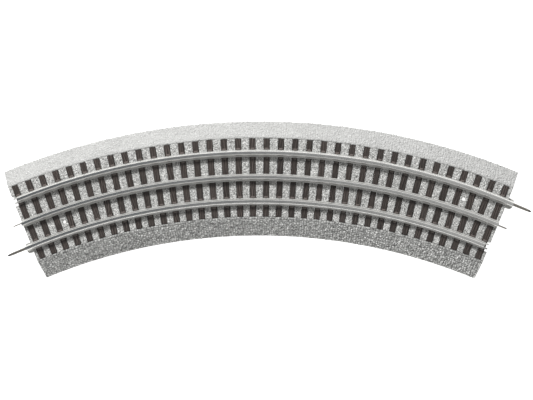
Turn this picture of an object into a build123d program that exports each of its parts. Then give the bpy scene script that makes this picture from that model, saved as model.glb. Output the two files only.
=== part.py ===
from build123d import *
import os
from math import cos, degrees, radians, sin

# Curved three-rail track section on a hollow moulded roadbed that looks like ballast.
#
# Millimetres, +Z up. The origin is on the table under the middle of the centre rail, +X runs
# along the chord to the right-hand end, and +Y points away from the centre of the curve.
# "Swing" is the angle from the middle of the section, in degrees, positive to the right.
# "Offset" is a distance from the centre rail's line, positive on the outside of the curve.

# Plan
CENTRE_RADIUS = 457.2
SECTION_ANGLE = 45.0
TIE_COUNT = 36
RAIL_OFFSET = 17.8
END_GAP = 0.3

# Heights above the table
DECK_UNDER = 12.0
DECK_TOP = 14.0
TIE_TOP = 14.6
RAIL_TOP = 20.0

# Roadbed shell
BASE_OFFSET = 42.5
SHOULDER_OFFSET = 29.3
BASE_LIP = 1.0
SHOULDER_ROUND = 2.0
WALL_BASE_OFFSET = 40.3
WALL_TOP_OFFSET = 28.4
END_WALL = 2.0
RIB = 1.6
RIB_LIFT = 0.6
LONG_RIB = 1.6
LONG_RIB_OFFSETS = (-12.0, 0.0, 12.0)
# How far a rib, wall or boss runs into the shell that carries it
ROOT = 0.6

# Ties and the runners that join them under the deck
TIE_LENGTH = 57.5
TIE_WIDTH = 4.5
TIE_FIT = 0.1
RUNNER_OFFSET = 24.2
RUNNER_WIDTH = 3.0
RUNNER_DEPTH = 1.2
RUNNER_FIT = 0.1
RUNNER_TAIL = 2.0
SPIKE_LENGTH = 2.2
SPIKE_WIDTH = 1.35
SPIKE_HEIGHT = 1.0
SPIKE_ROUND = 0.3
SPIKE_GAP = 0.05

# Rolled rail
FLANGE_HALF = 2.6
SHEET = 0.5
WEB_HALF = 0.5
HEAD_HALF = 1.7
HEAD_HEIGHT = 3.0
HEAD_SHOULDER = 1.1
HEAD_UNDER_ROUND = 0.6
PIN_HEIGHT = 18.5
TUNNEL_RADIUS = 1.2
SOCKET_RADIUS = 1.2
SOCKET_DEPTH = 15.0
CRIMP_WALL = 0.8
HEAD_REACH = 4.0
HEAD_CUT_BACK = 4.0
CENTRE_HEAD_GAP = 0.15
PRONG_INNER = 1.0
PRONG_OUTER = 2.25
PRONG_POINT = 1.2
# How far a cut or a buried end runs past the face that it has to clear
OVERRUN = 1.0

# Pins
PIN_RADIUS = 1.15
PIN_SHANK_RADIUS = 0.6
PIN_SHOULDER_GAP = 0.1
PIN_FIT = 0.02
PIN_TIP_REACH = 17.8
PIN_HOLD = 12.0
PIN_TAPER = 3.2
PIN_TIP_RADIUS = 0.6
PIN_TIP_ROUND = 0.3
HALF_PIN_REACH = 6.3
HALF_PIN_HOLD = 9.0
HALF_PIN_FLAT = 0.06
NOSE = 0.8
NOSE_TAPER = 18.0

# Joint between two sections
TONGUE_WIDTH = 7.3
TONGUE_REACH = 4.6
TONGUE_ROOT = 1.5
TONGUE_TOP = 11.8
TONGUE_BOTTOM = 3.0
TONGUE_CHAMFER_LONG = 1.1
TONGUE_CHAMFER_WIDE = 1.8
TONGUE_WALL = 1.4
NOTCH_WIDTH = 7.6
NOTCH_DEPTH = 2.95

# Tabs that hold the rails down, wiring lugs, jumpers and terminals
TAB_WIDTH = 3.0
LEG_INSET = 0.05
TAB_FOOT = 2.0
SLOT_FIT = 0.1
LUG_FOOT_TOP = 7.6
TAB_GAPS = (-17, -11, -7, -2, 2, 7, 11, 17)
RIB_GAPS = (-13, -9, -6, -3, 0, 3, 6, 9, 13)
JUMPER_GAP = 14
TERMINAL_GAP = 16
JUMPER_WIDTH = 4.2
JUMPER_THICKNESS = 0.4
JUMPER_HALF_LENGTH = 17.4
JUMPER_ROOM = 0.2
TERMINAL_PLATE = 0.8
TERMINAL_NEAR = 1.4
TERMINAL_FAR = 6.2
TERMINAL_LENGTH = 4.6
BLADE_WIDTH = 2.8
BLADE_LENGTH = 6.3
BLADE_CHAMFER = 0.6

# Screw holes
SCREW_GAP = 15
SCREW_OFFSET = 9.0
SCREW_RADIUS = 1.3
BOSS_RADIUS = 3.0
BOSS_UNDER = 10.0

HALF_ANGLE = SECTION_ANGLE / 2
PITCH = SECTION_ANGLE / TIE_COUNT
BODY_HALF_ANGLE = HALF_ANGLE - degrees(END_GAP / CENTRE_RADIUS)
CURVE_AXIS = Axis((0, -CENTRE_RADIUS, 0), (0, 0, 1))
LEG_OFFSET = FLANGE_HALF - LEG_INSET - SHEET / 2
TIE_SWINGS = [(i + 0.5) * PITCH - HALF_ANGLE for i in range(TIE_COUNT)]


def section_plane(swing):
    """Upright plane across the track: local x is the radius, local y is up, z looks right."""
    a = radians(swing)
    return Plane((0, -CENTRE_RADIUS, 0), x_dir=(sin(a), cos(a), 0), z_dir=(cos(a), -sin(a), 0))


def end_point(side, offset, height):
    """Point on one end's nominal joint plane, side 1 for the right end and -1 for the left."""
    a = radians(HALF_ANGLE)
    radius = CENTRE_RADIUS + offset
    return Vector(side * radius * sin(a), radius * cos(a) - CENTRE_RADIUS, height)


def end_direction(side):
    """Direction out of one end, along the rails."""
    a = radians(HALF_ANGLE)
    return Vector(side * cos(a), -sin(a), 0)


def level_end_plane(side, offset, height):
    """Level plane at one end: local x points out along the rail."""
    return Plane(end_point(side, offset, height), x_dir=end_direction(side), z_dir=(0, 0, 1))


def facing_end_plane(side, offset, height, reach):
    """Plane square to the rail at one end, reach outside the joint plane; its z points out."""
    origin = end_point(side, offset, height) + end_direction(side) * reach
    return Plane(origin, x_dir=(0, 0, 1), z_dir=end_direction(side))


def spot(offset, swing):
    """Location on a level plane with its local x along the radius."""
    a = radians(swing)
    radius = CENTRE_RADIUS + offset
    return Location((radius * sin(a), radius * cos(a) - CENTRE_RADIUS, 0), (0, 0, 90 - swing))


def band(offset, width, low, high):
    """Rectangle of a swept rib, on the current section plane."""
    with Locations((CENTRE_RADIUS + offset, (low + high) / 2)):
        Rectangle(width, high - low)


def mirrored_outline(half):
    """Closed outline from points of its outer half, given from the bottom up."""
    right = [(CENTRE_RADIUS + x, z) for x, z in half]
    left = [(CENTRE_RADIUS - x, z) for x, z in reversed(half)]
    return Polyline(*right, *left, close=True)


def wall_outline(bottom):
    """Outer half of a cross wall's outline, rooted in the shell's sides and deck."""
    return [(WALL_BASE_OFFSET + ROOT, bottom), (WALL_TOP_OFFSET + ROOT, DECK_UNDER + ROOT)]


def tab_edges():
    """Every place where a rail's leg goes through the deck: offset and swing."""
    places = []
    for rail in (-RAIL_OFFSET, 0.0, RAIL_OFFSET):
        for gap in TAB_GAPS:
            places += [(rail + edge * LEG_OFFSET, gap * PITCH) for edge in (-1, 1)]
        for edge, gap in lugs(rail):
            places.append((rail + edge * LEG_OFFSET, gap * PITCH))
    return places


def lugs(rail):
    """The long legs of one rail: flange edge, +1 outwards, and gap between ties."""
    jumper_gaps = (-JUMPER_GAP, JUMPER_GAP)
    terminal_gaps = (-TERMINAL_GAP, TERMINAL_GAP)
    if rail > 0:
        return [(-1, gap) for gap in jumper_gaps] + [(1, gap) for gap in terminal_gaps]
    if rail < 0:
        return [(1, gap) for gap in jumper_gaps]
    return [(1, gap) for gap in terminal_gaps]


# Roadbed
with BuildPart() as roadbed:
    with BuildSketch(section_plane(BODY_HALF_ANGLE)):
        with BuildLine():
            mirrored_outline([(BASE_OFFSET, 0), (BASE_OFFSET, BASE_LIP), (SHOULDER_OFFSET, DECK_TOP)])
        outline = make_face()
        fillet(outline.vertices().group_by(Axis.Y)[-1], SHOULDER_ROUND)
        with BuildLine():
            mirrored_outline([(WALL_BASE_OFFSET, 0), (WALL_TOP_OFFSET, DECK_UNDER)])
        make_face(mode=Mode.SUBTRACT)
    revolve(axis=CURVE_AXIS, revolution_arc=2 * BODY_HALF_ANGLE)
    # Cross ribs between the ties, and the two end walls
    for gap in RIB_GAPS:
        with BuildSketch(section_plane(gap * PITCH)):
            with BuildLine():
                mirrored_outline(wall_outline(RIB_LIFT))
            make_face()
        extrude(amount=RIB / 2, both=True)
    for side in (-1, 1):
        with BuildSketch(section_plane(side * BODY_HALF_ANGLE)):
            with BuildLine():
                mirrored_outline(wall_outline(0))
            make_face()
        extrude(amount=-side * END_WALL)
    # Ribs along the section
    with BuildSketch(section_plane(BODY_HALF_ANGLE)):
        for offset in LONG_RIB_OFFSETS:
            band(offset, LONG_RIB, 0, DECK_UNDER + ROOT)
    revolve(axis=CURVE_AXIS, revolution_arc=2 * BODY_HALF_ANGLE)
    # Screw bosses
    with BuildSketch(Plane.XY.offset(BOSS_UNDER)):
        for side in (-1, 1):
            with Locations(spot(side * SCREW_OFFSET, side * SCREW_GAP * PITCH)):
                Circle(BOSS_RADIUS)
    extrude(amount=DECK_UNDER - BOSS_UNDER + ROOT)
    # Windows for the ties
    with BuildSketch(Plane.XY.offset(DECK_UNDER)):
        with Locations(*[spot(0, swing) for swing in TIE_SWINGS]):
            Rectangle(TIE_LENGTH + 2 * TIE_FIT, TIE_WIDTH + 2 * TIE_FIT)
    extrude(amount=RAIL_TOP, mode=Mode.SUBTRACT)
    # Slots for the rails' tabs and lugs
    with BuildSketch(Plane.XY.offset(DECK_UNDER)):
        with Locations(*[spot(offset, swing) for offset, swing in tab_edges()]):
            Rectangle(SHEET + 2 * SLOT_FIT, TAB_WIDTH + 2 * SLOT_FIT)
    extrude(amount=RAIL_TOP, mode=Mode.SUBTRACT)
    # Channels in the cross ribs for the runners, and gaps in the long ribs for the jumpers
    runner_half_angle = TIE_SWINGS[-1] + degrees(RUNNER_TAIL / CENTRE_RADIUS)
    with BuildSketch(section_plane(runner_half_angle)):
        for offset in (-RUNNER_OFFSET, RUNNER_OFFSET):
            band(offset, RUNNER_WIDTH + 2 * RUNNER_FIT, DECK_UNDER - RUNNER_DEPTH - RUNNER_FIT, DECK_UNDER)
    revolve(axis=CURVE_AXIS, revolution_arc=2 * runner_half_angle, mode=Mode.SUBTRACT)
    with BuildSketch():
        for side in (-1, 1):
            with Locations(spot(0, side * JUMPER_GAP * PITCH)):
                Rectangle(2 * JUMPER_HALF_LENGTH, JUMPER_WIDTH + 2 * JUMPER_ROOM)
    extrude(amount=LUG_FOOT_TOP + JUMPER_THICKNESS + JUMPER_ROOM, mode=Mode.SUBTRACT)
    # Tongues beside the outgoing rail heads, and notches that take the next section's tongue
    for side in (-1, 1):
        with BuildSketch(level_end_plane(side, side * RAIL_OFFSET, TONGUE_BOTTOM)):
            with BuildLine():
                half = TONGUE_WIDTH / 2
                wide = half - TONGUE_CHAMFER_WIDE
                straight = TONGUE_REACH - TONGUE_CHAMFER_LONG
                Polyline(
                    (-TONGUE_ROOT, -half),
                    (straight, -half),
                    (TONGUE_REACH, -wide),
                    (TONGUE_REACH, wide),
                    (straight, half),
                    (-TONGUE_ROOT, half),
                    close=True,
                )
            make_face()
        extrude(amount=TONGUE_TOP - TONGUE_BOTTOM)
        with BuildSketch(level_end_plane(side, side * RAIL_OFFSET, TONGUE_BOTTOM)):
            with Locations(((TONGUE_REACH - TONGUE_WALL) / 2, 0)):
                Rectangle(TONGUE_REACH - TONGUE_WALL, TONGUE_WIDTH - 2 * TONGUE_WALL)
        extrude(amount=TONGUE_TOP - TONGUE_BOTTOM - TONGUE_WALL, mode=Mode.SUBTRACT)
        with BuildSketch(level_end_plane(side, -side * RAIL_OFFSET, 0)):
            Rectangle(2 * NOTCH_DEPTH, NOTCH_WIDTH)
        extrude(amount=RAIL_TOP, mode=Mode.SUBTRACT)
    # Screw holes
    with Locations(*[spot(side * SCREW_OFFSET, side * SCREW_GAP * PITCH).position for side in (-1, 1)]):
        Cylinder(SCREW_RADIUS, 3 * DECK_TOP, mode=Mode.SUBTRACT)
roadbed.part.label = "roadbed"

# Ties, with their spikes, joined by two runners
with BuildPart() as tie_ladder:
    with BuildSketch(section_plane(runner_half_angle)):
        for offset in (-RUNNER_OFFSET, RUNNER_OFFSET):
            band(offset, RUNNER_WIDTH, DECK_UNDER - RUNNER_DEPTH, DECK_UNDER)
    revolve(axis=CURVE_AXIS, revolution_arc=2 * runner_half_angle)
    with BuildSketch(Plane.XY.offset(DECK_UNDER)):
        with Locations(*[spot(0, swing) for swing in TIE_SWINGS]):
            Rectangle(TIE_LENGTH, TIE_WIDTH)
    extrude(amount=TIE_TOP - DECK_UNDER)
    spike_centre = FLANGE_HALF + SPIKE_GAP + SPIKE_WIDTH / 2
    with BuildSketch(Plane.XY.offset(TIE_TOP)):
        for rail in (-RAIL_OFFSET, RAIL_OFFSET):
            for edge in (-1, 1):
                with Locations(*[spot(rail + edge * spike_centre, swing) for swing in TIE_SWINGS]):
                    RectangleRounded(SPIKE_WIDTH, SPIKE_LENGTH, SPIKE_ROUND)
    extrude(amount=SPIKE_HEIGHT)
tie_ladder.part.label = "tie_ladder"


def rail_section(offset, swing):
    """Section of the folded web and the rounded head, at one swing."""
    centre = CENTRE_RADIUS + offset
    left, right = centre - HEAD_HALF, centre + HEAD_HALF
    low, shoulder = RAIL_TOP - HEAD_HEIGHT, RAIL_TOP - HEAD_SHOULDER
    with BuildSketch(section_plane(swing)) as section:
        band(offset, 2 * WEB_HALF, TIE_TOP, RAIL_TOP - SHEET)
        with BuildLine():
            Line((left + HEAD_SHOULDER, RAIL_TOP), (right - HEAD_SHOULDER, RAIL_TOP))
            RadiusArc((right - HEAD_SHOULDER, RAIL_TOP), (right, shoulder), HEAD_SHOULDER)
            Polyline(
                (right, shoulder),
                (right, low + HEAD_UNDER_ROUND),
                (right - HEAD_UNDER_ROUND, low),
                (left + HEAD_UNDER_ROUND, low),
                (left, low + HEAD_UNDER_ROUND),
                (left, shoulder),
            )
            RadiusArc((left, shoulder), (left + HEAD_SHOULDER, RAIL_TOP), HEAD_SHOULDER)
        make_face()
    return section.sketch


def band_section(offset, width, low, high, swing):
    """Rectangle across the track at one swing."""
    with BuildSketch(section_plane(swing)) as section:
        band(offset, width, low, high)
    return section.sketch


def leg_section(offset, edge, swing, foot_top):
    """Leg down from a flange edge through the deck, with its foot bent outwards under it."""
    outer = CENTRE_RADIUS + offset + edge * (FLANGE_HALF - LEG_INSET)
    near = outer - edge * SHEET
    toe = outer + edge * TAB_FOOT
    with BuildSketch(section_plane(swing)) as section:
        with BuildLine():
            Polyline(
                (near, TIE_TOP + SHEET / 2),
                (outer, TIE_TOP + SHEET / 2),
                (outer, foot_top),
                (toe, foot_top),
                (toe, foot_top - SHEET),
                (near, foot_top - SHEET),
                close=True,
            )
        make_face()
    return section.sketch


def leg_sections(offset):
    """All the tabs and lugs of one rail."""
    tabs = [
        leg_section(offset, edge, gap * PITCH, DECK_UNDER) for gap in TAB_GAPS for edge in (-1, 1)
    ]
    return tabs + [leg_section(offset, edge, gap * PITCH, LUG_FOOT_TOP) for edge, gap in lugs(offset)]


def prong_sections(side, offset):
    """The two pointed prongs that carry the flange on beyond the cut-back head."""
    with BuildSketch(level_end_plane(side, offset, TIE_TOP)) as prongs:
        for edge in (-1, 1):
            with BuildLine():
                Polyline(
                    (-HEAD_CUT_BACK - OVERRUN, edge * PRONG_INNER),
                    (-END_GAP - PRONG_POINT, edge * PRONG_INNER),
                    (-END_GAP, edge * (PRONG_INNER + PRONG_OUTER) / 2),
                    (-END_GAP - PRONG_POINT, edge * PRONG_OUTER),
                    (-HEAD_CUT_BACK - OVERRUN, edge * PRONG_OUTER),
                    close=True,
                )
            make_face()
    return prongs.sketch


def bore_section(side, offset, reach, radius):
    """Mouth of a straight bore into one end of a rail head, at reach from the joint plane."""
    with BuildSketch(facing_end_plane(side, offset, PIN_HEIGHT, reach)) as mouth:
        Circle(radius)
    return mouth.sketch


def tunnel_section(offset, swing):
    """Section of the hollow in the rolled head."""
    with BuildSketch(section_plane(swing)) as tunnel:
        with Locations((CENTRE_RADIUS + offset, PIN_HEIGHT)):
            Circle(TUNNEL_RADIUS)
    return tunnel.sketch


def swings(male, male_swing, female_swing):
    """Left and right swings of a stretch, given how far it runs to its male and female ends."""
    return (-female_swing, male_swing) if male > 0 else (-male_swing, female_swing)


def running_rail(offset):
    """Running rail: its head runs out past one end, and is cut back behind prongs at the other."""
    male = 1 if offset > 0 else -1
    radius = CENTRE_RADIUS + offset
    reach = degrees(HEAD_REACH / radius)
    cut = degrees(HEAD_CUT_BACK / radius)
    gap = degrees(END_GAP / radius)
    pin_end = degrees((PIN_HOLD + CRIMP_WALL) / radius)
    socket_end = degrees((HEAD_CUT_BACK + SOCKET_DEPTH + CRIMP_WALL) / radius)
    with BuildPart() as rail:
        left, right = swings(male, HALF_ANGLE + reach, HALF_ANGLE - cut)
        revolve(rail_section(offset, right), axis=CURVE_AXIS, revolution_arc=right - left)
        left, right = swings(male, HALF_ANGLE - gap, HALF_ANGLE - cut)
        flange = band_section(offset, 2 * FLANGE_HALF, TIE_TOP, TIE_TOP + SHEET, right)
        revolve(flange, axis=CURVE_AXIS, revolution_arc=right - left)
        extrude(prong_sections(-male, offset), amount=SHEET)
        for section in leg_sections(offset):
            extrude(section, amount=TAB_WIDTH / 2, both=True)
        socket = bore_section(-male, offset, OVERRUN - HEAD_CUT_BACK, SOCKET_RADIUS)
        extrude(socket, amount=-(SOCKET_DEPTH + OVERRUN), mode=Mode.SUBTRACT)
        pin_seat = bore_section(male, offset, HEAD_REACH + OVERRUN, PIN_SHANK_RADIUS + PIN_FIT)
        extrude(pin_seat, amount=-(PIN_HOLD + HEAD_REACH + OVERRUN), mode=Mode.SUBTRACT)
        left, right = swings(male, HALF_ANGLE - pin_end, HALF_ANGLE - socket_end)
        tunnel = tunnel_section(offset, right)
        revolve(tunnel, axis=CURVE_AXIS, revolution_arc=right - left, mode=Mode.SUBTRACT)
    return rail


def rail_pin(offset):
    """Long pin of a running rail: a thinner shank in the rail, then a rod with a tapered nose."""
    side = 1 if offset > 0 else -1
    shoulder = HEAD_REACH + PIN_SHOULDER_GAP
    with BuildPart() as pin:
        with BuildSketch(facing_end_plane(side, offset, PIN_HEIGHT, -PIN_HOLD)):
            Circle(PIN_SHANK_RADIUS)
        extrude(amount=PIN_HOLD + shoulder)
        with BuildSketch(facing_end_plane(side, offset, PIN_HEIGHT, shoulder)):
            Circle(PIN_RADIUS)
        extrude(amount=PIN_TIP_REACH - PIN_TAPER - shoulder)
        with BuildSketch(facing_end_plane(side, offset, PIN_HEIGHT, PIN_TIP_REACH - PIN_TAPER)):
            Circle(PIN_RADIUS)
        with BuildSketch(facing_end_plane(side, offset, PIN_HEIGHT, PIN_TIP_REACH)):
            Circle(PIN_TIP_RADIUS)
        loft()
        tip = pin.edges().filter_by(GeomType.CIRCLE).sort_by(SortBy.RADIUS)[0]
        fillet(tip, PIN_TIP_ROUND)
    return pin


def half_pin_section(side, reach):
    """Half-round section: local y points to the kept half, past the joint's shared flat."""
    with BuildSketch(facing_end_plane(side, 0, PIN_HEIGHT, reach)) as section:
        Circle(PIN_RADIUS)
        with Locations((0, HALF_PIN_FLAT - PIN_RADIUS)):
            Rectangle(2 * PIN_RADIUS, 2 * PIN_RADIUS, mode=Mode.SUBTRACT)
    return section.sketch


def half_pin(side):
    """Half-round pin of the centre rail; the next section's half pin lies against its flat."""
    with BuildPart() as pin:
        extrude(half_pin_section(side, -HALF_PIN_HOLD), amount=HALF_PIN_HOLD + HALF_PIN_REACH - NOSE)
        extrude(half_pin_section(side, HALF_PIN_REACH - NOSE), amount=NOSE, taper=NOSE_TAPER)
    return pin


outer_rail = running_rail(RAIL_OFFSET)
outer_rail.part.label = "outer_rail"
inner_rail = running_rail(-RAIL_OFFSET)
inner_rail.part.label = "inner_rail"

with BuildPart() as centre_rail:
    centre_half = HALF_ANGLE - degrees(CENTRE_HEAD_GAP / CENTRE_RADIUS)
    revolve(rail_section(0, centre_half), axis=CURVE_AXIS, revolution_arc=2 * centre_half)
    flange = band_section(0, 2 * FLANGE_HALF, TIE_TOP, TIE_TOP + SHEET, BODY_HALF_ANGLE)
    revolve(flange, axis=CURVE_AXIS, revolution_arc=2 * BODY_HALF_ANGLE)
    for section in leg_sections(0):
        extrude(section, amount=TAB_WIDTH / 2, both=True)
    for side in (-1, 1):
        socket = bore_section(side, 0, OVERRUN, SOCKET_RADIUS)
        extrude(socket, amount=-(HALF_PIN_HOLD + OVERRUN), mode=Mode.SUBTRACT)
    tunnel_half = HALF_ANGLE - degrees((HALF_PIN_HOLD + CRIMP_WALL) / CENTRE_RADIUS)
    tunnel = tunnel_section(0, tunnel_half)
    revolve(tunnel, axis=CURVE_AXIS, revolution_arc=2 * tunnel_half, mode=Mode.SUBTRACT)
centre_rail.part.label = "centre_rail"

outer_rail_pin = rail_pin(RAIL_OFFSET)
outer_rail_pin.part.label = "outer_rail_pin"
inner_rail_pin = rail_pin(-RAIL_OFFSET)
inner_rail_pin.part.label = "inner_rail_pin"
centre_pin_left = half_pin(-1)
centre_pin_left.part.label = "centre_pin_left"
centre_pin_right = half_pin(1)
centre_pin_right.part.label = "centre_pin_right"


def jumper(side):
    """Flat strip under the deck that joins the two running rails, slotted over their lugs."""
    swing = side * JUMPER_GAP * PITCH
    lug = RAIL_OFFSET - LEG_OFFSET
    with BuildPart() as strip:
        with BuildSketch(Plane.XY.offset(LUG_FOOT_TOP)):
            with Locations(spot(0, swing)):
                RectangleRounded(2 * JUMPER_HALF_LENGTH, JUMPER_WIDTH, SPIKE_ROUND)
            with Locations(spot(lug, swing), spot(-lug, swing)):
                Rectangle(SHEET + SLOT_FIT, TAB_WIDTH + SLOT_FIT, mode=Mode.SUBTRACT)
        extrude(amount=JUMPER_THICKNESS)
    return strip


def terminal(offset, side):
    """Wiring terminal: a slotted plate on a rail's lug, with a spade blade pointing down."""
    swing = side * TERMINAL_GAP * PITCH
    lug = offset + LEG_OFFSET
    blade = offset + TERMINAL_FAR - TERMINAL_PLATE / 2
    with BuildPart() as clip:
        with BuildSketch(Plane.XY.offset(LUG_FOOT_TOP)):
            with Locations(spot(offset + (TERMINAL_NEAR + TERMINAL_FAR) / 2, swing)):
                Rectangle(TERMINAL_FAR - TERMINAL_NEAR, TERMINAL_LENGTH)
            with Locations(spot(lug, swing)):
                Rectangle(SHEET + SLOT_FIT, TAB_WIDTH + SLOT_FIT, mode=Mode.SUBTRACT)
        extrude(amount=TERMINAL_PLATE)
        with BuildSketch(Plane.XY.offset(LUG_FOOT_TOP)):
            with Locations(spot(blade, swing)):
                Rectangle(TERMINAL_PLATE, BLADE_WIDTH)
        extrude(amount=-BLADE_LENGTH)
        blade_end = clip.faces().sort_by(Axis.Z)[0]
        radial_edges = blade_end.edges().sort_by(SortBy.LENGTH)[:2]
        chamfer(radial_edges, BLADE_CHAMFER)
    return clip


jumper_left = jumper(-1)
jumper_left.part.label = "jumper_left"
jumper_right = jumper(1)
jumper_right.part.label = "jumper_right"
centre_terminal_left = terminal(0, -1)
centre_terminal_left.part.label = "centre_terminal_left"
centre_terminal_right = terminal(0, 1)
centre_terminal_right.part.label = "centre_terminal_right"
running_terminal_left = terminal(RAIL_OFFSET, -1)
running_terminal_left.part.label = "running_terminal_left"
running_terminal_right = terminal(RAIL_OFFSET, 1)
running_terminal_right.part.label = "running_terminal_right"

os.makedirs("parts", exist_ok=True)
export_step(roadbed.part, "parts/roadbed.step")
export_step(tie_ladder.part, "parts/tie_ladder.step")
export_step(outer_rail.part, "parts/outer_rail.step")
export_step(centre_rail.part, "parts/centre_rail.step")
export_step(inner_rail.part, "parts/inner_rail.step")
export_step(outer_rail_pin.part, "parts/outer_rail_pin.step")
export_step(inner_rail_pin.part, "parts/inner_rail_pin.step")
export_step(centre_pin_left.part, "parts/centre_pin_left.step")
export_step(centre_pin_right.part, "parts/centre_pin_right.step")
export_step(jumper_left.part, "parts/jumper_left.step")
export_step(jumper_right.part, "parts/jumper_right.step")
export_step(centre_terminal_left.part, "parts/centre_terminal_left.step")
export_step(centre_terminal_right.part, "parts/centre_terminal_right.step")
export_step(running_terminal_left.part, "parts/running_terminal_left.step")
export_step(running_terminal_right.part, "parts/running_terminal_right.step")
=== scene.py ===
from math import radians

import bpy
import numpy as np
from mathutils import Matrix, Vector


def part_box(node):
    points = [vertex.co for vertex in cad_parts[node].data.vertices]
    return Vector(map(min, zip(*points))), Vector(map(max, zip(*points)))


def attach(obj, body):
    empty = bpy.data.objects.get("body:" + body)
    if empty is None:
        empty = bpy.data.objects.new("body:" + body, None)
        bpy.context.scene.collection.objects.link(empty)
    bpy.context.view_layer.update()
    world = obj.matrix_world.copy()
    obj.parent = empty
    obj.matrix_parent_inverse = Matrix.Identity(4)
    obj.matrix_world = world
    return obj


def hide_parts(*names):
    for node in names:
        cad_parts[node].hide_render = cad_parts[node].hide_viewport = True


# Curved track section: stone-textured skins over the roadbed, grained ties with plates and
# spikes, and the finishes of the rails, pins and contacts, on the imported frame.
#
# "Swing" is the angle round the curve from its middle, in radians, positive to the right.
# "Offset" is a distance across the track from the centre rail's line, positive outwards.
# Lengths here are millimetres; place() turns them into the frame's metres.

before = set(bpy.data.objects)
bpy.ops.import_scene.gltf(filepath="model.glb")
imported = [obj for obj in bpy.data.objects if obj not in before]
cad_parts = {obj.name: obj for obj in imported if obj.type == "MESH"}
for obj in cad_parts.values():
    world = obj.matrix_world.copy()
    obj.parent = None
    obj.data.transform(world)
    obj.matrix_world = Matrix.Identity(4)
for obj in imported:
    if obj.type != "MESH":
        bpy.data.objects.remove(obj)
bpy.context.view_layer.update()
MM = 0.001
rng = np.random.default_rng(45)

# Curve
CENTRE_RADIUS = 457.2
HALF_SWING = radians(22.5)
TIE_COUNT = 36
PITCH = 2 * HALF_SWING / TIE_COUNT
END_GAP = 0.3
RAIL_OFFSET = 17.8

# Roadbed
BASE_OFFSET = 42.5
BASE_LIP = 1.0
DECK_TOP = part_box("roadbed")[1].z / MM
SHOULDER_OFFSET = 29.3
SHOULDER_ROUND = 2.0
NOTCH_HALF = 3.8
SCREW_GAP = 15
SCREW_OFFSET = 9.0
SCREW_RADIUS = 1.3

# Ties
TIE_LENGTH = 57.5
TIE_WIDTH = 4.5
TIE_FIT = 0.1
TIE_TOP = 14.6
TIE_BOTTOM = 12.0
TIE_ROUND = 0.35
RUNNER_OFFSET = 24.2
RUNNER_WIDTH = 3.0
RUNNER_DEPTH = 1.2
PLATE_OFFSET = 3.3
PLATE_RISE = 0.4
SPIKE_OFFSET = 3.15
SPIKE_RISE = 1.0

# Skins
SKIN_DEPTH = 0.4
STONE = 1.8
STONE_RISE = 1.15
DECK_STONE = 1.05
DECK_STONE_RISE = 0.7
SLOPE_MIDDLE = 36
STEP = 0.3

# Stones come from a table of random cells, which repeats; a hidden face has a middle tone
STONE_ROWS, STONE_COLUMNS = 64, 4096
HIDDEN_TONE = 0.5

# Camera and key light, in metres, degrees and watts
CAMERA_PLACE = (0.0468, -0.0735, 1.3474)
CAMERA_TURN = (2.445, 1.783, 0.128)
CAMERA_LENS = 122.7
CAMERA_SENSOR = 36
KEY_PLACE = (-0.28, 0.78, 0.90)
KEY_SIZE = (0.32, 0.26)
KEY_POWER = 17


def place(swing, offset, height):
    """Points of the frame, in metres, from swings, offsets and heights."""
    radius = CENTRE_RADIUS + offset
    x = radius * np.sin(swing)
    y = radius * np.cos(swing) - CENTRE_RADIUS
    return np.stack(np.broadcast_arrays(x, y, height), axis=-1) * MM


def mesh_piece(name, points, faces, material, smooth=True, value=None):
    """A piece of the object that rides on the root body."""
    mesh = bpy.data.meshes.new(name)
    mesh.from_pydata(points.tolist(), [], faces)
    mesh.update()
    mesh.polygons.foreach_set("use_smooth", [smooth] * len(mesh.polygons))
    if value is not None:
        layer = mesh.attributes.new("tone", "FLOAT", "POINT")
        layer.data.foreach_set("value", np.asarray(value, dtype=np.float32))
    mesh.materials.append(material)
    piece = bpy.data.objects.new(name, mesh)
    bpy.context.collection.objects.link(piece)
    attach(piece, "root")
    return piece


def corners_of(rows, columns):
    """The first corner's number of each face in a grid of points."""
    return (np.arange(rows - 1)[:, None] * columns + np.arange(columns - 1)).ravel()


class Patchwork:
    """Collects closed slabs made of grids, for one piece."""

    def __init__(self):
        self.points, self.faces, self.tones, self.count = [], [], [], 0

    def add(self, points, faces, tones):
        self.points.append(points.reshape(-1, 3))
        self.faces += [tuple(i + self.count for i in face) for face in faces]
        self.tones.append(np.broadcast_to(tones, points.shape[:-1]).reshape(-1))
        self.count += points.size // 3

    def slab(self, top, back_first, back_last, tones):
        """Closes a grid of top points with two rows of back points along its long edges."""
        rows, columns = top.shape[:2]
        points = np.concatenate([top.reshape(-1, 3), back_first, back_last])
        first, last = rows * columns, rows * columns + rows
        a = corners_of(rows, columns)
        faces = np.stack([a, a + columns, a + columns + 1, a + 1], axis=1).tolist()
        for r in range(rows - 1):
            near, far = r * columns, r * columns + columns - 1
            faces.append((near, first + r, first + r + 1, near + columns))
            faces.append((far, far + columns, last + r + 1, last + r))
            faces.append((first + r, last + r, last + r + 1, first + r + 1))
        faces.append([*range(columns), last, first])
        tail = (rows - 1) * columns
        faces.append([first + rows - 1, last + rows - 1, *range(tail + columns - 1, tail - 1, -1)])
        front_tones = np.broadcast_to(tones, top.shape[:2]).reshape(-1)
        self.add(points, faces, np.concatenate([front_tones, np.full(2 * rows, HIDDEN_TONE)]))

    def piece(self, name, material):
        return mesh_piece(name, np.concatenate(self.points), self.faces, material,
                          value=np.concatenate(self.tones))


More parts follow.
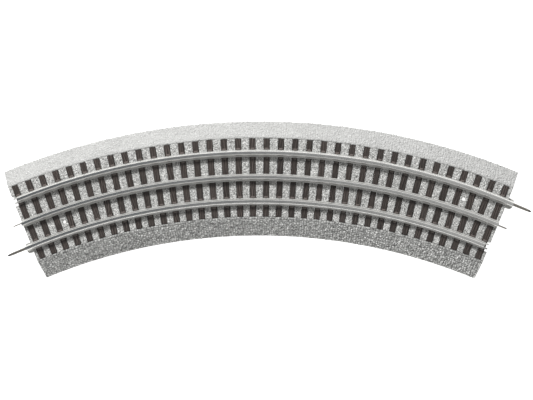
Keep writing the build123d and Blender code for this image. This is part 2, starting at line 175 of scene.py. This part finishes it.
def stones(s, t, size, seed):
    """Crushed stones on a plane: height 0 to 1 and one random tone for each stone."""
    generator = np.random.default_rng(seed)
    table = generator.random((6, STONE_ROWS, STONE_COLUMNS))
    column, row = np.floor(s / size).astype(int), np.floor(t / size).astype(int)
    nearest = np.full(s.shape, 9.0)
    second = np.full(s.shape, 9.0)
    tone = np.zeros(s.shape)
    lift = np.zeros(s.shape)
    lean = np.zeros(s.shape)
    for dc in (-1, 0, 1):
        for dr in (-1, 0, 1):
            c, r = (column + dc) % STONE_COLUMNS, (row + dr) % STONE_ROWS
            centre_s = (column + dc + 0.15 + 0.7 * table[0, r, c]) * size
            centre_t = (row + dr + 0.15 + 0.7 * table[1, r, c]) * size
            distance = np.hypot(s - centre_s, t - centre_t) / size
            closer = distance < nearest
            second = np.where(closer, nearest, np.minimum(second, distance))
            nearest = np.where(closer, distance, nearest)
            tone = np.where(closer, table[2, r, c], tone)
            lift = np.where(closer, table[3, r, c], lift)
            tilt = (table[4, r, c] - 0.5) * (s - centre_s) + (table[5, r, c] - 0.5) * (t - centre_t)
            lean = np.where(closer, tilt / size, lean)
    edge = np.clip((second - nearest) / 0.45, 0, 1)
    dome = edge * (2 - edge)
    return dome * np.clip(0.4 + 0.5 * lift + 2.2 * lean, 0.08, 1.25), tone


def streaks(u, v, seed, waves=9):
    """Smooth random waves, about -1 to 1, longest along u."""
    generator = np.random.default_rng(seed)
    total = np.zeros(np.broadcast(u, v).shape)
    for _ in range(waves):
        a, b = generator.uniform(0.15, 0.6), generator.uniform(2.5, 9.0)
        phase = generator.uniform(0, 6.3)
        total = total + np.sin(a * u * generator.choice((-1, 1)) + b * v + phase)
    return total / waves ** 0.5


# Materials

def material(name, color, roughness, metallic=0.0):
    made = bpy.data.materials.new(name)
    made.use_nodes = True
    shader = made.node_tree.nodes["Principled BSDF"]
    shader.inputs["Base Color"].default_value = (*color, 1)
    shader.inputs["Roughness"].default_value = roughness
    shader.inputs["Metallic"].default_value = metallic
    return made, made.node_tree.nodes, made.node_tree.links, shader


def noise(nodes, links, scale, detail=4.0):
    """Noise texture in object coordinates, in metres."""
    coordinates = nodes.new("ShaderNodeTexCoord")
    texture = nodes.new("ShaderNodeTexNoise")
    texture.inputs["Scale"].default_value = scale
    texture.inputs["Detail"].default_value = detail
    links.new(coordinates.outputs["Object"], texture.inputs["Vector"])
    return texture


def ramp(nodes, links, source, stops):
    """Colour ramp from a socket; stops are (position, colour)."""
    made = nodes.new("ShaderNodeValToRGB")
    elements = made.color_ramp.elements
    while len(elements) < len(stops):
        elements.new(0.5)
    for element, (position, color) in zip(elements, stops):
        element.position = position
        element.color = (*color, 1)
    links.new(source, made.inputs["Fac"])
    return made.outputs["Color"]


def grey(value):
    return (value, value, value)


def mix(nodes, links, blend, factor, a, b):
    """Mix node for colours; a and b are sockets or colours."""
    made = nodes.new("ShaderNodeMix")
    made.data_type = "RGBA"
    made.blend_type = blend
    made.inputs["Factor"].default_value = factor
    for socket, value in ((made.inputs["A"], a), (made.inputs["B"], b)):
        if isinstance(value, tuple):
            socket.default_value = (*value, 1)
        else:
            links.new(value, socket)
    return made.outputs["Result"]


def bump(nodes, links, height, shader, strength, distance):
    made = nodes.new("ShaderNodeBump")
    made.inputs["Strength"].default_value = strength
    made.inputs["Distance"].default_value = distance
    links.new(height, made.inputs["Height"])
    links.new(made.outputs["Normal"], shader.inputs["Normal"])


def stone_material(name, dark, light, speck_tone):
    """Moulded grey plastic, toned stone by stone with a fine grain, and painted shade in the crevices
    between stones.
    """
    made, nodes, links, shader = material(name, light, 0.62)
    shader.inputs["Specular IOR Level"].default_value = 0.35
    tone = nodes.new("ShaderNodeAttribute")
    tone.attribute_name = "tone"
    middle = tuple((a + b) / 2 for a, b in zip(dark, light))
    base = ramp(nodes, links, tone.outputs["Fac"], [(0.0, dark), (0.5, middle), (1.0, light)])
    fine = noise(nodes, links, 1700, 3.0)
    speck = ramp(nodes, links, fine.outputs["Fac"], [(0.38, grey(speck_tone)), (0.60, grey(1.0))])
    patches = noise(nodes, links, 55, 3.0)
    cloud = ramp(nodes, links, patches.outputs["Fac"], [(0.3, grey(0.93)), (0.7, grey(1.0))])
    color = mix(nodes, links, "MULTIPLY", 1.0, base, speck)
    color = mix(nodes, links, "MULTIPLY", 1.0, color, cloud)
    links.new(color, shader.inputs["Base Color"])
    bump(nodes, links, fine.outputs["Fac"], shader, 0.35, 0.0002)
    return made


# One moulded plastic in three copies coloured for the light: the outer slope, facing the key light,
# darker and flatter; the inner slope, which the light grazes, lighter with strong painted shade in its
# crevices; the deck with its own strong painted shade in its crevices
outer_stone_lit_copy = stone_material("outer_stone_lit_copy", (0.43, 0.43, 0.42), (0.58, 0.58, 0.57), 0.80)
inner_stone_shaded_copy = stone_material("inner_stone_shaded_copy", (0.13, 0.13, 0.124), (1.0, 1.0, 0.975), 0.62)
deck_stone_painted_shade = stone_material("deck_stone_painted_shade", (0.09, 0.09, 0.084), (0.97, 0.97, 0.945), 0.36)

# Roadbed plastic, for the ends, tongues and the underside
roadbed_plastic, nodes, links, shader = material("roadbed_plastic", (0.50, 0.50, 0.48), 0.5)
shader.inputs["Specular IOR Level"].default_value = 0.4
cloud = noise(nodes, links, 90, 4.0)
links.new(ramp(nodes, links, cloud.outputs["Fac"],
               [(0.3, (0.40, 0.40, 0.38)), (0.7, (0.48, 0.48, 0.46))]),
          shader.inputs["Base Color"])
bump(nodes, links, noise(nodes, links, 1500, 3.0).outputs["Fac"], shader, 0.15, 0.0002)

# Tie plastic, coloured by a tone that holds the grain and the painted shade of the ties
tie_plastic, nodes, links, shader = material("tie_plastic", (0.06, 0.045, 0.04), 0.55)
shader.inputs["Specular IOR Level"].default_value = 0.35
tone = nodes.new("ShaderNodeAttribute")
tone.attribute_name = "tone"
base = ramp(nodes, links, tone.outputs["Fac"],
            [(0.0, (0.013, 0.011, 0.010)), (0.5, (0.050, 0.042, 0.038)), (1.0, (0.125, 0.103, 0.094))])
grain = noise(nodes, links, 1300, 4.0)
links.new(mix(nodes, links, "MULTIPLY", 1.0, base,
              ramp(nodes, links, grain.outputs["Fac"], [(0.3, grey(0.75)), (0.7, grey(1.1))])),
          shader.inputs["Base Color"])
bump(nodes, links, grain.outputs["Fac"], shader, 0.2, 0.0002)

# Rails: rolled sheet, tin-plated, bright and smooth at the head and dull at the foot
POLISH_LOW, POLISH_HIGH = 0.0155, 0.0165
rail_metal, nodes, links, shader = material("rail_metal", (0.78, 0.78, 0.77), 0.24, 1.0)
along = noise(nodes, links, 160, 5.0)
plating = ramp(nodes, links, along.outputs["Fac"],
               [(0.25, (0.72, 0.715, 0.69)), (0.75, (0.84, 0.835, 0.81))])
where = nodes.new("ShaderNodeTexCoord")
height = nodes.new("ShaderNodeSeparateXYZ")
links.new(where.outputs["Object"], height.inputs["Vector"])
polish = nodes.new("ShaderNodeMapRange")
polish.inputs["From Min"].default_value = POLISH_LOW
polish.inputs["From Max"].default_value = POLISH_HIGH
links.new(height.outputs["Z"], polish.inputs["Value"])
links.new(ramp(nodes, links, polish.outputs["Result"], [(0.0, grey(0.45)), (1.0, grey(0.25))]),
          shader.inputs["Roughness"])
links.new(ramp(nodes, links, polish.outputs["Result"], [(0.0, grey(0.4)), (1.0, grey(1.0))]),
          shader.inputs["Metallic"])
# Base colour a little darker towards the foot of the rail
foot_darkening = ramp(nodes, links, polish.outputs["Result"], [(0.0, grey(0.85)), (1.0, grey(1.0))])
links.new(mix(nodes, links, "MULTIPLY", 1.0, plating, foot_darkening), shader.inputs["Base Color"])

# Pins, with painted shade on the tip past each end of the section
SHADED_TIP_START, SHADED_TIP_END = 14.8, 16.8
pin_metal, nodes, links, shader = material("pin_metal", (0.36, 0.345, 0.32), 0.3, 1.0)
where = nodes.new("ShaderNodeTexCoord")
far = nodes.new("ShaderNodeVectorMath")
far.operation = "ABSOLUTE"
links.new(where.outputs["Object"], far.inputs[0])
along_end = nodes.new("ShaderNodeVectorMath")
along_end.operation = "DOT_PRODUCT"
along_end.inputs[1].default_value = (np.cos(HALF_SWING), np.sin(HALF_SWING), 0)
links.new(far.outputs["Vector"], along_end.inputs[0])
span = nodes.new("ShaderNodeMapRange")
end_plane = CENTRE_RADIUS * np.sin(HALF_SWING)
span.inputs["From Min"].default_value = (end_plane + SHADED_TIP_START) * MM
span.inputs["From Max"].default_value = (end_plane + SHADED_TIP_END) * MM
links.new(along_end.outputs["Value"], span.inputs["Value"])
# Painted shade: base colour dark at the pin's tip
links.new(ramp(nodes, links, span.outputs["Result"],
               [(0.0, (0.29, 0.275, 0.25)), (1.0, (0.03, 0.028, 0.025))]),
          shader.inputs["Base Color"])
fine = noise(nodes, links, 1200, 3.0)
links.new(ramp(nodes, links, fine.outputs["Fac"], [(0.3, grey(0.22)), (0.7, grey(0.36))]),
          shader.inputs["Roughness"])

# Contacts: the jumpers and terminals under the deck
contact_metal, nodes, links, shader = material("contact_metal", (0.72, 0.56, 0.30), 0.3, 1.0)
fine = noise(nodes, links, 700, 4.0)
links.new(ramp(nodes, links, fine.outputs["Fac"],
               [(0.3, (0.60, 0.45, 0.22)), (0.7, (0.80, 0.64, 0.36))]),
          shader.inputs["Base Color"])

# Spikes and tie plates: the ties' brown plastic made lighter, a painted highlight where light catches
# them
spike_plastic_painted_highlight = material("spike_plastic_painted_highlight", (0.13, 0.112, 0.102), 0.38)[0]

for name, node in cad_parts.items():
    if name == "roadbed":
        finish = roadbed_plastic
    elif name.endswith("_rail"):
        finish = rail_metal
    elif "pin" in name:
        finish = pin_metal
    elif "jumper" in name or "terminal" in name:
        finish = contact_metal
    else:
        continue
    node.data.materials.clear()
    node.data.materials.append(finish)


# Slopes: the profile runs up the slope and over the rounded shoulder, with its outward normal
def slope_profile(step):
    """Offsets, heights and normals up one side, and the distance along the profile."""
    run, rise = BASE_OFFSET - SHOULDER_OFFSET, DECK_TOP - BASE_LIP
    pitch_angle = np.arctan2(rise, run)
    tangent = SHOULDER_ROUND * np.tan(pitch_angle / 2)
    slope_length = np.hypot(run, rise) - tangent
    arc_length = SHOULDER_ROUND * pitch_angle
    edge_offset = TIE_LENGTH / 2 + TIE_FIT + 0.05
    end_length = slope_length + arc_length - 0.35
    distance = np.linspace(0, end_length, int(end_length / step) + 2)
    up = np.minimum(distance, slope_length)
    offset = BASE_OFFSET - up * np.cos(pitch_angle)
    height = BASE_LIP + up * np.sin(pitch_angle)
    turned = pitch_angle - np.maximum(distance - slope_length, 0) / SHOULDER_ROUND
    centre_offset = SHOULDER_OFFSET - tangent
    centre_height = DECK_TOP - SHOULDER_ROUND
    on_arc = distance > slope_length
    offset = np.where(on_arc, centre_offset + SHOULDER_ROUND * np.sin(turned), offset)
    height = np.where(on_arc, centre_height + SHOULDER_ROUND * np.cos(turned), height)
    return np.maximum(offset, edge_offset), height, np.sin(turned), np.cos(turned), distance


def slope(name, side, seed):
    """The stone skin of one slope, side 1 outside the curve and -1 inside."""
    offset, height, out, up, distance = slope_profile(STEP)
    limit = HALF_SWING - END_GAP / CENTRE_RADIUS
    count = int((CENTRE_RADIUS + side * SLOPE_MIDDLE) * 2 * limit / STEP)
    swing = np.linspace(-limit, limit, count)[:, None]
    s = (CENTRE_RADIUS + side * SLOPE_MIDDLE) * (swing + 1) + 0 * distance
    t = distance + 8 + 0 * swing
    big, tone = stones(s, t, STONE, seed)
    small, small_tone = stones(s + 3, t + 5, STONE * 0.55, seed + 1)
    relief = STONE_RISE * big + 0.10 * small + 0.03
    fade = np.clip(distance / 0.8, 0, 1) * np.clip((distance[-1] - distance) / 0.5, 0.25, 1)
    relief = 0.04 + (relief - 0.04) * fade
    top = place(swing, side * (offset + out * relief), height + up * relief)
    first = place(swing[:, 0], side * (offset[0] - SKIN_DEPTH), np.full(count, height[0]))
    last = place(swing[:, 0], side * offset[-1], np.full(count, height[-1] - SKIN_DEPTH))
    patch = Patchwork()
    # Painted shade: colour darker in the crevices and lighter on the stone tops, by the stones' height,
    # over each stone's random tone
    tone_and_painted_shade = np.clip(0.1 + 0.25 * tone + 0.75 * big + 0.1 * (small_tone - 0.5), 0, 1)
    # Painted shade along the rounded shoulder, where the key light catches the stones
    tone_and_painted_shade = tone_and_painted_shade * (1 - 0.4 * np.clip((distance - distance[-1] + 2.2) / 1.2, 0, 1))
    if side > 0:
        patch.slab(top[:, ::-1], last, first, tone_and_painted_shade[:, ::-1])
    else:
        patch.slab(top, first, last, tone_and_painted_shade)
    return patch.piece(name, outer_stone_lit_copy if side > 0 else inner_stone_shaded_copy)


# Deck: one bar of ballast between each two ties
def deck():
    """The stone skin between the ties, split at the notches and the screw holes."""
    patch = Patchwork()
    edge = TIE_LENGTH / 2 + TIE_FIT - 0.05
    half_window = TIE_WIDTH / 2 + TIE_FIT
    hole = SCREW_RADIUS + 0.25
    for gap in range(-TIE_COUNT // 2, TIE_COUNT // 2 + 1):
        side = 1 if gap > 0 else -1
        spans = [(-edge, edge)]
        if abs(gap) == TIE_COUNT // 2:
            notch = -side * RAIL_OFFSET
            spans = [(-edge, notch - NOTCH_HALF), (notch + NOTCH_HALF, edge)]
        elif abs(gap) == SCREW_GAP:
            middle = side * SCREW_OFFSET
            spans = [(-edge, middle - hole), (middle + hole, edge)]
        for low, high in spans:
            offset = np.linspace(low, high, int((high - low) / STEP) + 2)[:, None]
            grid(patch, gap, offset, half_window)
        if abs(gap) == SCREW_GAP:
            ring(patch, gap, side * SCREW_OFFSET, hole, half_window)
    return patch.piece("ballast_deck", deck_stone_painted_shade)


def bar_limits(gap, offset, half_window):
    """Left and right swings of one bar at each offset."""
    radius = CENTRE_RADIUS + offset
    window = np.arcsin(half_window / radius) - 0.03 / radius
    left = (gap - 0.5) * PITCH + window
    right = (gap + 0.5) * PITCH - window
    limit = HALF_SWING - END_GAP / CENTRE_RADIUS
    return np.maximum(left, -limit), np.minimum(right, limit)


def deck_relief(swing, offset, left, right):
    """Height of the stones over the deck, flatter at a bar's two edges, and their tone with painted
    shade in the crevices.
    """
    s = CENTRE_RADIUS * (swing + 1) + 0 * offset
    t = offset + 40 + 0 * swing
    big, tone = stones(s, t, DECK_STONE, 7)
    small, _ = stones(s, t + 9, DECK_STONE * 0.5, 8)
    radius = CENTRE_RADIUS + offset
    room = np.minimum(swing - left, right - swing) * radius
    fade = np.clip(room / 0.35, 0, 1)
    relief = 0.03 + (DECK_STONE_RISE * big + 0.05 * small) * (0.2 + 0.8 * fade)
    # Painted shade: colour darker in the crevices and lighter on the stone tops, by the stones' height
    return relief, np.clip(0.05 + 0.4 * tone + 0.85 * big, 0, 1)


def grid(patch, gap, offset, half_window):
    left, right = bar_limits(gap, offset, half_window)
    columns = max(int(((right - left) * CENTRE_RADIUS).max() / STEP) + 1, 3)
    part = np.linspace(0, 1, columns)[None, :]
    swing = left + (right - left) * part
    relief, tone_and_painted_shade = deck_relief(swing, offset, left, right)
    top = place(swing, offset, DECK_TOP + relief)
    under = np.full(len(offset), DECK_TOP - SKIN_DEPTH)
    first = place(left[:, 0], offset[:, 0], under)
    last = place(right[:, 0], offset[:, 0], under)
    patch.slab(top[:, ::-1], last, first, tone_and_painted_shade[:, ::-1])


def ring(patch, gap, middle, hole, half_window):
    """The square of deck round a screw hole, as rings from the hole out to the bar's edges."""
    steps = 64
    angle = np.linspace(0, 2 * np.pi, steps, endpoint=False)
    left, right = bar_limits(gap, np.array([middle]), half_window)
    half_bar = (right - left)[0] / 2 * (CENTRE_RADIUS + middle)
    reach = np.minimum(hole / np.maximum(abs(np.cos(angle)), 1e-6),
                       half_bar / np.maximum(abs(np.sin(angle)), 1e-6))
    part = np.linspace(0, 1, 5)[:, None]
    distance = SCREW_RADIUS + 0.03 + (reach - SCREW_RADIUS - 0.03) * part
    offset = middle + distance * np.cos(angle)
    swing = gap * PITCH + distance * np.sin(angle) / (CENTRE_RADIUS + offset)
    relief, tone_and_painted_shade = deck_relief(swing, offset, left[0], right[0])
    relief = np.where(part < 0.2, 0.05, relief)
    top = place(swing, offset, DECK_TOP + relief).reshape(-1, 3)
    inner = place(swing[0], offset[0], np.full(steps, DECK_TOP - SKIN_DEPTH))
    outer = place(swing[-1], offset[-1], np.full(steps, DECK_TOP - SKIN_DEPTH))
    rows = len(part)
    points = np.concatenate([top, inner, outer])
    faces = []
    base_in, base_out = rows * steps, (rows + 1) * steps
    for k in range(steps):
        n = (k + 1) % steps
        for r in range(rows - 1):
            faces.append((r * steps + k, r * steps + n, (r + 1) * steps + n, (r + 1) * steps + k))
        faces.append((base_in + k, base_in + n, n, k))
        top_k, top_n = (rows - 1) * steps + k, (rows - 1) * steps + n
        faces.append((top_k, top_n, base_out + n, base_out + k))
        faces.append((base_out + k, base_out + n, base_in + n, base_in + k))
    hidden = np.full(2 * steps, HIDDEN_TONE)
    patch.add(points, faces, np.concatenate([tone_and_painted_shade.reshape(-1), hidden]))


slope("ballast_outer_slope", 1, 11)
slope("ballast_inner_slope", -1, 23)
deck()


# Ties: rounded, grained blocks, with painted shade along their edges and in their cracks
def edge_steps(half, step):
    """Positions across a rounded block and how far each has dropped from the top."""
    turn = np.radians([90, 65, 40, 18])
    out = half - TIE_ROUND + TIE_ROUND * np.sin(turn)
    down = TIE_ROUND * (1 - np.cos(turn))
    middle = np.linspace(-half + TIE_ROUND, half - TIE_ROUND, int(2 * half / step) + 2)
    bottom = [TIE_TOP - TIE_BOTTOM]
    position = np.concatenate([[-half], -out, middle, out[::-1], [half]])
    drop = np.concatenate([bottom, down, 0 * middle, down[::-1], bottom])
    return position, drop


def ties():
    patch = Patchwork()
    u, drop_u = edge_steps(TIE_LENGTH / 2, 0.4)
    v, drop_v = edge_steps(TIE_WIDTH / 2, 0.3)
    for number in range(TIE_COUNT):
        swing = (number + 0.5) * PITCH - HALF_SWING
        seed = 100 + number
        drop = np.maximum(drop_u[:, None], drop_v[None, :])
        wave = streaks(u[:, None], v[None, :], seed)
        crack = np.clip(streaks(u[:, None] * 0.5 + 3, v[None, :], seed + 500, 5) - 0.9, 0, 1)
        room = np.minimum(TIE_LENGTH / 2 - abs(u[:, None]), TIE_WIDTH / 2 - abs(v[None, :]))
        fade = np.clip(room / 0.5, 0, 1)
        relief = (0.11 * wave - 0.25 * crack) * fade
        height = np.where(drop > TIE_ROUND * 1.2, TIE_BOTTOM, TIE_TOP - drop + relief)
        radius = CENTRE_RADIUS + u[:, None]
        x = radius * np.sin(swing) + v * np.cos(swing)
        y = radius * np.cos(swing) - v * np.sin(swing) - CENTRE_RADIUS
        top = np.stack(np.broadcast_arrays(x, y, height), axis=-1) * MM
        own = rng.uniform(-0.10, 0.10)
        # Painted shade: darker along each tie's edges and in its cracks, over the grain and each tie's
        # own tone
        tone_and_painted_shade = 0.47 + own + 0.32 * wave - 0.6 * crack - 0.25 * (1 - fade)
        rows, columns = top.shape[:2]
        a = corners_of(rows, columns)
        faces = np.stack([a, a + 1, a + columns + 1, a + columns], axis=1).tolist()
        rim = list(range(columns)) + [r * columns + columns - 1 for r in range(1, rows)]
        rim += list(range((rows - 1) * columns + columns - 2, (rows - 1) * columns - 1, -1))
        rim += [r * columns for r in range(rows - 2, 0, -1)]
        faces.append(rim)
        patch.add(top, faces, np.clip(tone_and_painted_shade, 0, 1))
    return patch.piece("ties", tie_plastic)


def rounded_block(patch, swing, offset, low, high, half_u, half_v, rounding, tone):
    """Small block with a rounded top, across the track by half_u and along it by half_v."""
    turns = np.radians([90, 60, 30, 0])
    corners = np.radians(np.arange(0, 360, 15))
    levels = [(low, rounding)]
    for turn in turns:
        levels.append((high - rounding * (1 - np.cos(turn)), rounding * np.sin(turn)))
    side_u = np.sign(np.round(np.cos(corners), 9)) * (half_u - rounding)
    side_v = np.sign(np.round(np.sin(corners), 9)) * (half_v - rounding)
    rows = []
    for height, reach in levels:
        pu = side_u + reach * np.cos(corners)
        along = side_v + reach * np.sin(corners)
        radius = CENTRE_RADIUS + offset + pu
        x = radius * np.sin(swing) + along * np.cos(swing)
        y = radius * np.cos(swing) - along * np.sin(swing) - CENTRE_RADIUS
        rows.append(np.stack([x, y, np.full(len(x), height)], axis=-1) * MM)
    n = len(corners)
    faces = []
    for r in range(len(rows) - 1):
        for k in range(n):
            m = (k + 1) % n
            faces.append((r * n + k, (r + 1) * n + k, (r + 1) * n + m, r * n + m))
    faces.append(list(range(n)))
    faces.append(list(range((len(rows) - 1) * n + n - 1, (len(rows) - 1) * n - 1, -1)))
    patch.add(np.concatenate(rows), faces, tone)


def spikes():
    """A tie plate with a spike's head at both sides of each running rail."""
    patch = Patchwork()
    for number in range(TIE_COUNT):
        swing = (number + 0.5) * PITCH - HALF_SWING
        for rail in (-RAIL_OFFSET, RAIL_OFFSET):
            for side in (-1, 1):
                rounded_block(patch, swing, rail + side * PLATE_OFFSET, TIE_TOP - 0.1,
                              TIE_TOP + PLATE_RISE, 0.75, 1.4, 0.16, 0.62)
                rounded_block(patch, swing, rail + side * SPIKE_OFFSET, TIE_TOP,
                              TIE_TOP + SPIKE_RISE, 0.55, 0.75, 0.28, 0.72)
    return patch.piece("spikes_and_plates", spike_plastic_painted_highlight)


def runners():
    """The two runners that join the ties under the deck."""
    patch = Patchwork()
    reach = HALF_SWING - PITCH / 2 + 2.0 / CENTRE_RADIUS
    swing = np.linspace(-reach, reach, 145)
    for offset in (-RUNNER_OFFSET, RUNNER_OFFSET):
        low, high = offset - RUNNER_WIDTH / 2, offset + RUNNER_WIDTH / 2
        top = place(swing[:, None], np.array([[high, low]]), np.full((1, 2), TIE_BOTTOM - 0.02))
        first = place(swing, high, np.full(len(swing), TIE_BOTTOM - RUNNER_DEPTH))
        last = place(swing, low, np.full(len(swing), TIE_BOTTOM - RUNNER_DEPTH))
        patch.slab(top, first, last, 0.45)
    piece = patch.piece("tie_runners", tie_plastic)
    piece.data.polygons.foreach_set("use_smooth", [False] * len(piece.data.polygons))
    return piece


for made in (ties(), spikes(), runners()):
    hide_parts("tie_ladder")

# Surroundings: a white floor that glows, and a sky with two looks. Metals mirror one with light
# walls, which overhead goes from dark on the left to grey; all else is lit by a soft, even one
floor = bpy.data.objects.new("floor", bpy.data.meshes.new("floor"))
bpy.context.collection.objects.link(floor)
floor.data.from_pydata([(-4, -4, 0), (4, -4, 0), (4, 4, 0), (-4, 4, 0)], [], [(0, 1, 2, 3)])
floor.location.z = -0.0003
paper, nodes, links, shader = material("paper", (0.9, 0.9, 0.9), 0.9)
shader.inputs["Emission Color"].default_value = (1, 1, 1, 1)
shader.inputs["Emission Strength"].default_value = 0.92
floor.data.materials.append(paper)

world = bpy.data.worlds.new("studio")
bpy.context.scene.world = world
world.use_nodes = True
nodes, links = world.node_tree.nodes, world.node_tree.links
background = nodes["Background"]
coordinates = nodes.new("ShaderNodeTexCoord")
separate = nodes.new("ShaderNodeSeparateXYZ")
links.new(coordinates.outputs["Generated"], separate.inputs["Vector"])


def sky_ramp(axis, low, high, stops):
    """Greys along one axis of the sky's direction, between two of its values."""
    span = nodes.new("ShaderNodeMapRange")
    span.inputs["From Min"].default_value = low
    span.inputs["From Max"].default_value = high
    links.new(separate.outputs[axis], span.inputs["Value"])
    return ramp(nodes, links, span.outputs["Result"], stops)


def sky_mix(factor, a, b):
    made = nodes.new("ShaderNodeMix")
    made.data_type = "RGBA"
    for name, source in (("Factor", factor), ("A", a), ("B", b)):
        links.new(source, made.inputs[name])
    return made.outputs["Result"]


walls = sky_ramp("Y", -1, 1, [(0.0, grey(0.50)), (0.30, grey(0.85)), (0.42, grey(0.3)),
                              (0.55, grey(0.4)), (0.66, grey(1.8)), (0.85, grey(0.9)), (1.0, grey(0.8))])
overhead = sky_ramp("X", -0.22, 0.16, [(0.0, (0.05, 0.06, 0.07)), (0.25, (0.10, 0.113, 0.125)),
                                       (0.5, (0.24, 0.245, 0.25)), (1.0, grey(0.60))])
cap = sky_ramp("Z", 0.78, 0.95, [(0.0, grey(0.0)), (0.5, grey(1.0))])
seen_in_metal = sky_mix(cap, walls, overhead)
soft = sky_ramp("Y", -1, 1, [(0.0, grey(0.62)), (0.5, grey(0.26)), (1.0, grey(0.50))])
ray = nodes.new("ShaderNodeLightPath")
links.new(sky_mix(ray.outputs["Is Glossy Ray"], soft, seen_in_metal), background.inputs["Color"])
background.inputs["Strength"].default_value = 1.0


def softbox(name, location, size_x, size_y, power):
    """Rectangular light that faces the origin."""
    lamp = bpy.data.lights.new(name, "AREA")
    lamp.shape, lamp.size, lamp.size_y, lamp.energy = "RECTANGLE", size_x, size_y, power
    made = bpy.data.objects.new(name, lamp)
    bpy.context.collection.objects.link(made)
    made.location = location
    made.rotation_euler = made.location.to_track_quat("Z", "Y").to_euler()
    return made


key = softbox("key", KEY_PLACE, *KEY_SIZE, KEY_POWER)
key.visible_glossy = False

camera_data = bpy.data.cameras.new("camera")
camera_data.lens = CAMERA_LENS
camera_data.sensor_width = CAMERA_SENSOR
camera = bpy.data.objects.new("camera", camera_data)
bpy.context.collection.objects.link(camera)
camera.location = CAMERA_PLACE
camera.rotation_euler = [radians(turn) for turn in CAMERA_TURN]
bpy.context.scene.camera = camera
bpy.context.scene.view_settings.view_transform = "Standard"
